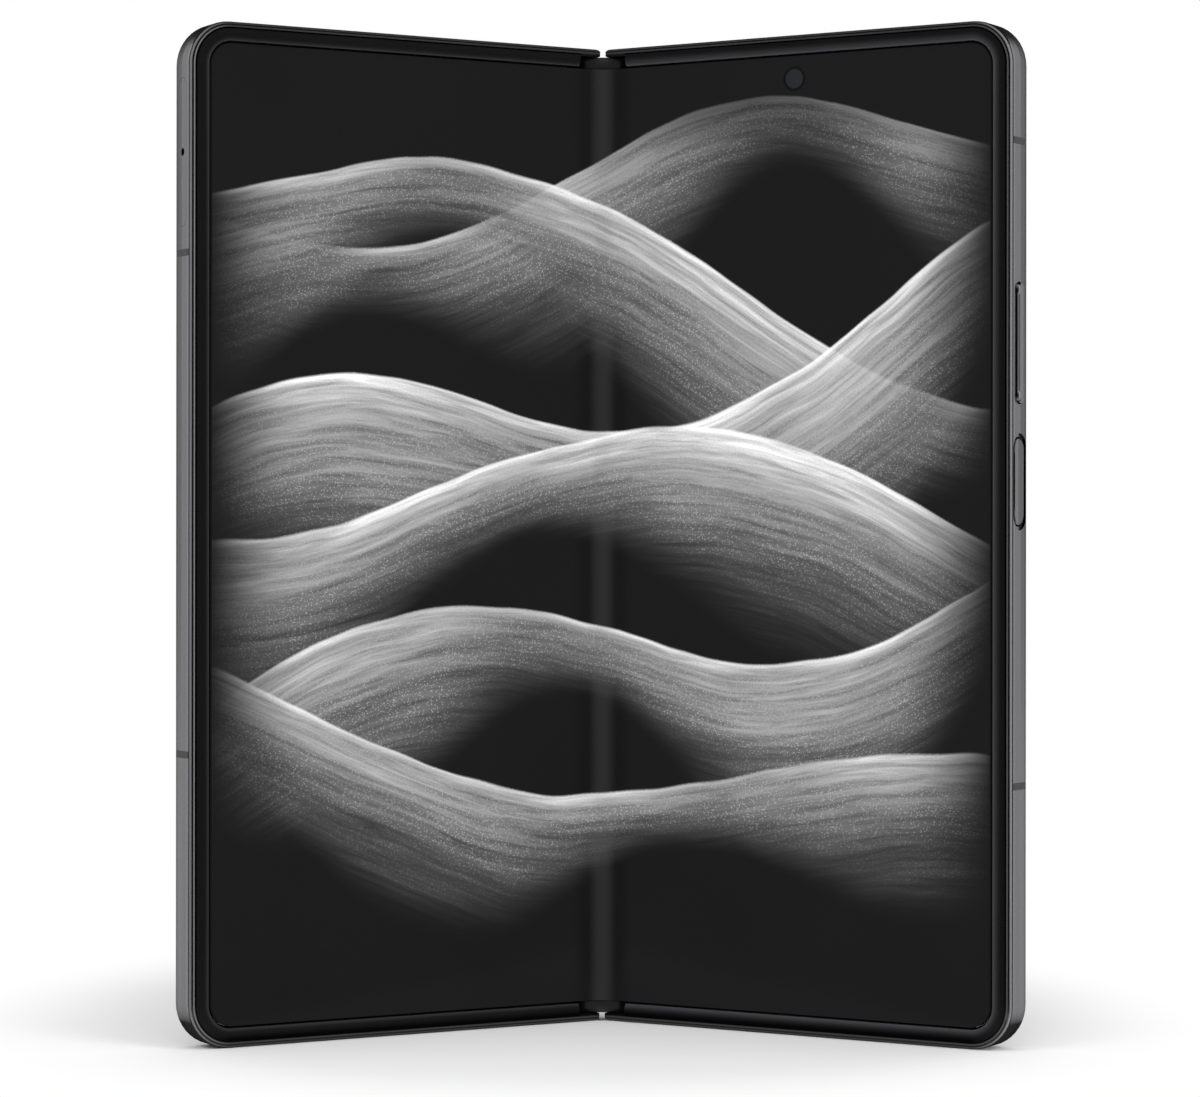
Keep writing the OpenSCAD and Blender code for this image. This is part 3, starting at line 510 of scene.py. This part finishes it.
def screen_material(finish):
    """A generic greyscale design with its own glow, a painted reflection and painted shade along the crease, and the
    camera's disc, under glossy film.
    """
    g = Graph("screen_film")
    at = g.split(g.node("ShaderNodeUVMap", uv_map="screen").outputs[0])
    u = g.mul(g.sub(at[0], 0.5), SCREEN_UV / MM)
    v = g.sub(g.mul(at[1], SCREEN_UV / MM), PHONE_H / MM / 2)
    flat = g.combine(u, v)
    along = g.abs(u)
    tone = g.mul(design_tone(g, u, v, flat), finish.screen_bright)
    # Painted shade dims the design along the crease, a painted reflection makes the crease pale, and painted shade
    # darkens the band beside it.
    crease_light_and_shade = g.below(along, *CREASE_LIGHT_AND_SHADE)
    tone = g.mul(tone, g.flip(g.mul(crease_light_and_shade, 0.12)))
    tone = g.add(tone, g.sub(g.mul(crease_light_and_shade, 0.013), g.mul(g.band(along, *CREASE_SIDE_SHADE), 0.003)))
    eye = g.length(g.sub(u, UNDER_CAMERA[0] / MM), g.sub(v, (UNDER_CAMERA[1] - PHONE_H / 2) / MM))
    disc = g.below(eye, *CAMERA_DISC)
    tone = g.add(tone, g.mul(disc, g.mix(g.noise(flat, 9.0, 1, 0.5), 0.009, 0.013)))
    # No glow on the sides and the rear of the film, nor on the margin beside the border strip.
    inset, side = edge_place(g, along, g.add(v, PHONE_H / MM / 2))
    margin = g.mul(side, g.below(inset, SCREEN_EDGE / MM + 0.2, SCREEN_EDGE / MM + 0.34))
    depth = g.node("ShaderNodeAttribute", attribute_name="depth").outputs["Fac"]
    dull = g.max(g.step(depth, SCREEN_FRONT / MM + 0.03, SCREEN_FRONT / MM + 0.1), margin)
    lit = g.mul(g.flip(dull), g.flip(g.mul(g.band(eye, *CAMERA_RING), 0.85)))
    glow = g.node("ShaderNodeCombineColor")
    for i, (ground, tint) in enumerate(zip(finish.screen_ground, (-0.001, 0.0005, 0.006))):
        g.link(g.mul(g.add(tone, g.scaled(disc, tint, ground)), lit), glow.inputs[i])
    smear = g.mix(g.noise(flat, 0.05, 4, 0.6), 0.10, 0.17)
    g.surface(Base_Color=g.shade((0.006, 0.006, 0.0065), g.noise(flat, 0.03, 2), 0.8, 1.2),
              Roughness=g.mix(dull, smear, 0.95), Specular_IOR_Level=g.mix(g.step(v, *GLOSS_V), 0.03, 0.12),
              Emission_Color=glow.outputs[0], Emission_Strength=1.0)
    return g.material


def dress(material, *names):
    """Gives the named CAD pieces the material."""
    for name in names:
        o = NODES[name]
        o.data.materials.clear()
        o.data.materials.append(material)


# ---------------------------------------------------------------- pieces
def deselect():
    if bpy.context.object and bpy.context.object.mode != "OBJECT":
        bpy.ops.object.mode_set(mode="OBJECT")
    bpy.ops.object.select_all(action="DESELECT")


def pick_edges(obj, test):
    """Selects in edit mode the edges whose two ends pass the test."""
    bpy.ops.mesh.select_mode(type="EDGE")
    bpy.ops.mesh.select_all(action="DESELECT")
    bpy.ops.object.mode_set(mode="OBJECT")
    for e in obj.data.edges:
        a, b = (obj.data.vertices[i].co for i in e.vertices)
        e.select = test(a, b)
    bpy.ops.object.mode_set(mode="EDIT")


def half_screen(name, side):
    """One half of the screen, drawn flat, cut into columns over the bend and laid along it."""
    deselect()
    x0, x1 = 0.0, HALF_W - SCREEN_EDGE
    z0, z1 = SCREEN_EDGE, PHONE_H - SCREEN_EDGE
    near = MM / 1000
    bpy.ops.mesh.primitive_cube_add(size=1, location=(0, 0, 0))
    obj = bpy.context.object
    obj.name = name
    bpy.ops.object.mode_set(mode="EDIT")
    bpy.ops.transform.resize(value=(x1 - x0, SCREEN_T, z1 - z0))
    bpy.ops.transform.translate(value=((x0 + x1) / 2, SCREEN_FRONT + SCREEN_T / 2, (z0 + z1) / 2))
    pick_edges(obj, lambda a, b: min(a.x, b.x) > x1 - near and abs(a.z - b.z) < near and abs(a.x - b.x) < near)
    bpy.ops.mesh.bevel(offset=SCREEN_CORNER, segments=12, profile=0.5, affect="EDGES")
    for i in range(1, BEND_COLUMNS + 1):
        bpy.ops.mesh.select_all(action="SELECT")
        bpy.ops.mesh.bisect(plane_co=(FOLD_X * i / BEND_COLUMNS, 0, 0), plane_no=(1, 0, 0))
    bpy.ops.mesh.select_all(action="SELECT")
    if side < 0:
        bpy.ops.transform.mirror(constraint_axis=(True, False, False), center_override=(0, 0, 0))
    bpy.ops.mesh.normals_make_consistent(inside=False)
    bpy.ops.object.mode_set(mode="OBJECT")
    mesh = obj.data
    uv = mesh.uv_layers[0]
    uv.name = "screen"
    for loop in mesh.loops:
        co = mesh.vertices[loop.vertex_index].co
        uv.data[loop.index].uv = (0.5 + co.x / SCREEN_UV, co.z / SCREEN_UV)
    depth = mesh.attributes.new(name="depth", type="FLOAT", domain="POINT")
    for i, v in enumerate(mesh.vertices):
        depth.data[i].value = v.co.y / MM
        v.co = bent(v.co, side)
    mesh.update()
    return obj


def bent(co, side):
    """Where a point of the flat screen lies at rest."""
    s, y = abs(co.x), co.y
    cos, sin = math.cos(REST_FOLD), math.sin(REST_FOLD)
    if s >= FOLD_X - 1e-9:
        x = AXIS_A + (s - AXIS_A) * cos + y * sin
        depth = -(s - AXIS_A) * sin + y * cos
    else:
        # An arc whose front passes smoothly into the flat part at FOLD_X.
        end_x = AXIS_A + (FOLD_X - AXIS_A) * cos + SCREEN_FRONT * sin
        end_y = -(FOLD_X - AXIS_A) * sin + SCREEN_FRONT * cos
        radius = end_x / sin
        turn = REST_FOLD * s / FOLD_X
        r = radius + y - SCREEN_FRONT
        x = r * math.sin(turn)
        depth = end_y - radius * cos + r * math.cos(turn)
    return Vector((side * x, depth + HINGE_Y, co.z))


# ---------------------------------------------------------------- steps
class PHONE_OT_screen(bpy.types.Operator):
    """Models the folding screen in two halves that bend over the hinge, with its greyscale design"""
    bl_idname = "phone.screen"
    bl_label = "Folding screen"

    def execute(self, context):
        film = screen_material(context.scene.phone_finish)
        for side, body, node in ((-1, "left_half", "left_display"), (1, "right_half", "right_display")):
            obj = half_screen("screen_left" if side < 0 else "screen_right", side)
            obj.data.materials.append(film)
            if side < 0:
                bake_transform(obj)
                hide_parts(node, "display_fold")
            else:
                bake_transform(obj)
                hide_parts(node)
        return {"FINISHED"}


class PHONE_OT_metal(bpy.types.Operator):
    """Gives the frames, keys, tray, spine and camera plate their satin graphite metal"""
    bl_idname = "phone.metal"
    bl_label = "Graphite metal"

    def execute(self, context):
        f = context.scene.phone_finish
        # The two frames are lit and shaded copies: their painted highlight lines differ in strength.
        dress(frame_metal("left_metal", f.metal_color, f.metal_roughness, 1.4, 1.25), "left_frame", "card_tray")
        dress(frame_metal("right_metal", f.metal_color, f.metal_roughness, 0.55, 1.7), "right_frame")
        dress(grained("graphite_metal", f.metal_color, f.metal_roughness - 0.04, 1.0, spread=0.04),
              "spine_cover", "camera_plate")
        dress(key_metal("volume_metal", f.metal_color, f.metal_roughness, VOLUME_FRONT, 0.3), "volume_key")
        dress(key_metal("power_metal", f.metal_color, f.metal_roughness, POWER_FRONT, 0.0), "power_key")
        dress(grained("polished_metal", (0.45, 0.45, 0.47), 0.14, 1.0, spread=0.03),
              "lens_rings", "left_hinge_screws", "right_hinge_screws")
        dress(grained("machined_steel", (0.42, 0.42, 0.44), 0.3, 1.0, cloud=200), "hinge_brackets", "hinge_beam",
              "left_main_gear", "left_idler_gear", "right_idler_gear", "right_main_gear", "left_rotators",
              "right_rotators", "left_support_plate", "right_support_plate", "shield_can", "usb_socket",
              "vibration_motor")
        return {"FINISHED"}


class PHONE_OT_plastics(bpy.types.Operator):
    """Gives the border strips, end caps, antenna bands and inner plastics their finishes"""
    bl_idname = "phone.plastics"
    bl_label = "Plastics"

    def execute(self, context):
        f = context.scene.phone_finish
        # The two strips are lit and shaded copies: the right one is darker with a stronger painted highlight.
        dress(strip_plastic("left_strip", f.trim_color, 0.8, 5.5), "left_trim")
        dress(strip_plastic("right_strip", tuple(c * 0.8 for c in f.trim_color), 1.5, 11.0), "right_trim")
        dress(cap_plastic((0.011, 0.011, 0.012)), "hinge_end_caps")
        dress(grained("black_plastic", (0.010, 0.010, 0.011), 0.4),
              "earpiece", "speaker", "key_switches", "camera_modules", "cover_panel")
        dress(grained("antenna_plastic", (0.032, 0.032, 0.034), 0.5, Specular_IOR_Level=0.25),
              "left_antenna_bands", "right_antenna_bands")
        dress(grained("board_mask", (0.02, 0.09, 0.05), 0.4, cloud=500), "left_board", "main_board", "sub_board")
        dress(grained("battery_pouch", (0.05, 0.05, 0.055), 0.35, 0.6, cloud=120), "left_battery", "right_battery")
        dress(grained("copper_wire", (0.55, 0.27, 0.13), 0.3, 1.0), "charging_coil")
        return {"FINISHED"}


class PHONE_OT_glass(bpy.types.Operator):
    """Gives the rear glass, the cover display and the lenses their finishes"""
    bl_idname = "phone.glass"
    bl_label = "Glass"

    def execute(self, context):
        f = context.scene.phone_finish
        dress(grained("rear_glass", f.glass_color, 0.32, grain=14000, Coat_Weight=0.25, Coat_Roughness=0.25),
              "rear_glass")
        dress(grained("cover_glass", (0.008, 0.008, 0.009), 0.06, spread=0.02, Specular_IOR_Level=0.5), "cover_glass")
        dress(lens_material(), "lens_glass")
        dress(grained("small_lens", (0.006, 0.006, 0.009), 0.04, spread=0.01, Coat_Weight=1.0),
              "cover_camera", "inner_camera")
        dress(grained("flash_lens", (0.75, 0.72, 0.62), 0.3), "flash_lens")
        return {"FINISHED"}


class PHONE_OT_stage(bpy.types.Operator):
    """Sets the camera, the pale floor, the white room and the soft lamps"""
    bl_idname = "phone.stage"
    bl_label = "Stage"

    def execute(self, context):
        s = context.scene.phone_stage
        scene = context.scene
        scene.view_settings.view_transform = "Standard"
        self.camera(scene, s)
        self.floor(s)
        self.room(scene, s)
        self.lamp("lamp_left", (-0.6, -0.5, 0.7), 0.45, s.key_power)
        self.lamp("lamp_right", (0.6, -0.5, 0.7), 0.45, s.key_power)
        self.lamp("lamp_front", (0.0, -0.7, 0.65), 0.5, s.front_power)
        self.cards()
        return {"FINISHED"}

    def camera(self, scene, s):
        data = bpy.data.cameras.new("camera")
        cam = bpy.data.objects.new("camera", data)
        scene.collection.objects.link(cam)
        width = PICTURE[0]
        data.sensor_width = SENSOR
        data.lens = s.picture_scale * (s.camera_distance / MM) * SENSOR / width
        data.clip_start = 0.01
        data.clip_end = 20
        data.shift_x = -(HINGE_PIXEL[0] - width / 2) / width
        data.shift_y = (HINGE_PIXEL[1] - PICTURE[1] / 2) / width
        cam.location = (-math.sin(CAMERA_TURN) * s.camera_distance,
                        HINGE_Y - math.cos(CAMERA_TURN) * s.camera_distance, PHONE_H / 2)
        cam.rotation_euler = (math.pi / 2, s.camera_roll, -CAMERA_TURN)
        scene.camera = cam

    def floor(self, s):
        """A pale diffuse floor that keeps the shadow and goes to plain white away from the phone."""
        deselect()
        bpy.ops.mesh.primitive_plane_add(size=8, location=(0, 0, 0))
        floor = bpy.context.object
        floor.name = "floor"
        g = Graph("pale_floor")
        path = g.node("ShaderNodeLightPath").outputs
        seen = path["Is Camera Ray"]
        mirrored = g.max(path["Is Glossy Ray"], path["Is Transmission Ray"])
        tone = g.mul(g.mix(seen, 1.0, s.floor_lift), g.mix(g.noise(g.place(), 3, 2), 0.995, 1.005))
        pale = g.node("ShaderNodeCombineColor")
        for i, level in enumerate(s.floor_color):
            g.link(g.mul(tone, level), pale.inputs[i])
        lit = g.node("ShaderNodeBsdfDiffuse")
        g.link(pale.outputs[0], lit.inputs[0])
        spot = g.split(g.place())
        across = g.mul(g.sub(spot[0], POOL_MIDDLE[0]), 1 / POOL_ACROSS)
        along = g.sub(spot[1], POOL_MIDDLE[1])
        along = g.max(g.mul(along, 1 / POOL_BEHIND), g.mul(along, -1 / POOL_BEFORE))
        white = g.node("ShaderNodeEmission")
        mixed = g.node("ShaderNodeMixShader")
        g.link(g.mul(g.max(seen, mirrored), g.step(g.length(across, along), *POOL_EDGE)), mixed.inputs[0])
        g.link(lit.outputs[0], mixed.inputs[1])
        g.link(white.outputs[0], mixed.inputs[2])
        g.link(mixed.outputs[0], g.out.inputs["Surface"])
        g.material.cycles.emission_sampling = "NONE"
        floor.data.materials.append(g.material)

    def cards(self):
        """Dark cards out of the picture, seen only in the gloss, for the dark ends of the metal's shading."""
        flat, upright = (0, 0, 0), math.pi / 2
        places = (("card_top", (0, 0.02, 0.36), flat, (0.7, 0.52)),
                  ("card_front", (0, -0.95, 0.45), (upright, 0, 0), (1.3, 1.1)),
                  ("card_front_left", (-0.95, -0.62, 0.45), (upright, 0, math.radians(-50)), (0.95, 1.1)),
                  ("card_front_right", (0.95, -0.62, 0.45), (upright, 0, math.radians(50)), (0.95, 1.1)),
                  ("card_back", (0, 1.1, 0.45), (upright, 0, 0), (1.7, 1.4)),
                  ("card_apron", (0, -0.53, 0.0008), flat, (2.2, 1.0)))
        g = Graph("dark_card")
        g.surface(Base_Color=g.shade((0.03, 0.03, 0.03), g.noise(g.place(), 5, 2), 0.9, 1.1), Roughness=0.9,
                  Specular_IOR_Level=0.0)
        for name, at, turn, size in places:
            deselect()
            bpy.ops.mesh.primitive_plane_add(size=1, location=at, rotation=turn)
            card = bpy.context.object
            card.name = name
            card.scale = size + (1,)
            card.data.materials.append(g.material)
            card.visible_camera = card.visible_diffuse = card.visible_shadow = False

    def room(self, scene, s):
        """A white room, full white to the camera and in mirror images, softer as a light."""
        world = bpy.data.worlds.new("white_room")
        scene.world = world
        world.use_nodes = True
        world.cycles.sampling_method = "NONE"
        tree = world.node_tree
        tree.nodes.clear()
        out = tree.nodes.new("ShaderNodeOutputWorld")
        path = tree.nodes.new("ShaderNodeLightPath")
        back = tree.nodes.new("ShaderNodeBackground")
        back.inputs[0].default_value = (1, 1, 1, 1)
        shown = path.outputs["Is Camera Ray"]
        for ray in ("Is Glossy Ray", "Is Transmission Ray"):
            either = tree.nodes.new("ShaderNodeMath")
            either.operation = "MAXIMUM"
            tree.links.new(shown, either.inputs[0])
            tree.links.new(path.outputs[ray], either.inputs[1])
            shown = either.outputs[0]
        level = tree.nodes.new("ShaderNodeMix")
        level.inputs[2].default_value = s.world_level
        level.inputs[3].default_value = 1.0
        tree.links.new(shown, level.inputs[0])
        tree.links.new(level.outputs[0], back.inputs[1])
        tree.links.new(back.outputs[0], out.inputs[0])

    def lamp(self, name, at, size, power):
        """A round soft lamp aimed at the phone's middle, not seen in the gloss."""
        data = bpy.data.lights.new(name, "AREA")
        data.shape = "DISK"
        data.size = size
        data.energy = power
        lamp = bpy.data.objects.new(name, data)
        bpy.context.scene.collection.objects.link(lamp)
        lamp.location = at
        lamp.visible_glossy = False
        lamp.rotation_euler = (Vector((0, 0, 0.08)) - Vector(at)).to_track_quat("-Z", "Y").to_euler()


class PHONE_PT_panel(bpy.types.Panel):
    """Lists the steps that dress the phone"""
    bl_idname = "PHONE_PT_panel"
    bl_label = "Folding phone"
    bl_space_type = "VIEW_3D"
    bl_region_type = "UI"
    bl_category = "Phone"

    def draw(self, context):
        for step in STEPS:
            self.layout.operator(step.bl_idname)
        for group in (context.scene.phone_finish, context.scene.phone_stage):
            for name in group.bl_rna.properties.keys():
                if name not in ("rna_type", "name"):
                    self.layout.prop(group, name)


STEPS = (PHONE_OT_screen, PHONE_OT_metal, PHONE_OT_plastics, PHONE_OT_glass, PHONE_OT_stage)
CLASSES = (PhoneFinish, PhoneStage) + STEPS + (PHONE_PT_panel,)


def register():
    for c in CLASSES:
        bpy.utils.register_class(c)
    bpy.types.Scene.phone_finish = bpy.props.PointerProperty(type=PhoneFinish)
    bpy.types.Scene.phone_stage = bpy.props.PointerProperty(type=PhoneStage)


def unregister():
    del bpy.types.Scene.phone_stage
    del bpy.types.Scene.phone_finish
    for c in reversed(CLASSES):
        bpy.utils.unregister_class(c)


def main():
    register()
    bpy.ops.phone.screen()
    bpy.ops.phone.metal()
    bpy.ops.phone.plastics()
    bpy.ops.phone.glass()
    bpy.ops.phone.stage()


if __name__ == "__main__":
    main()
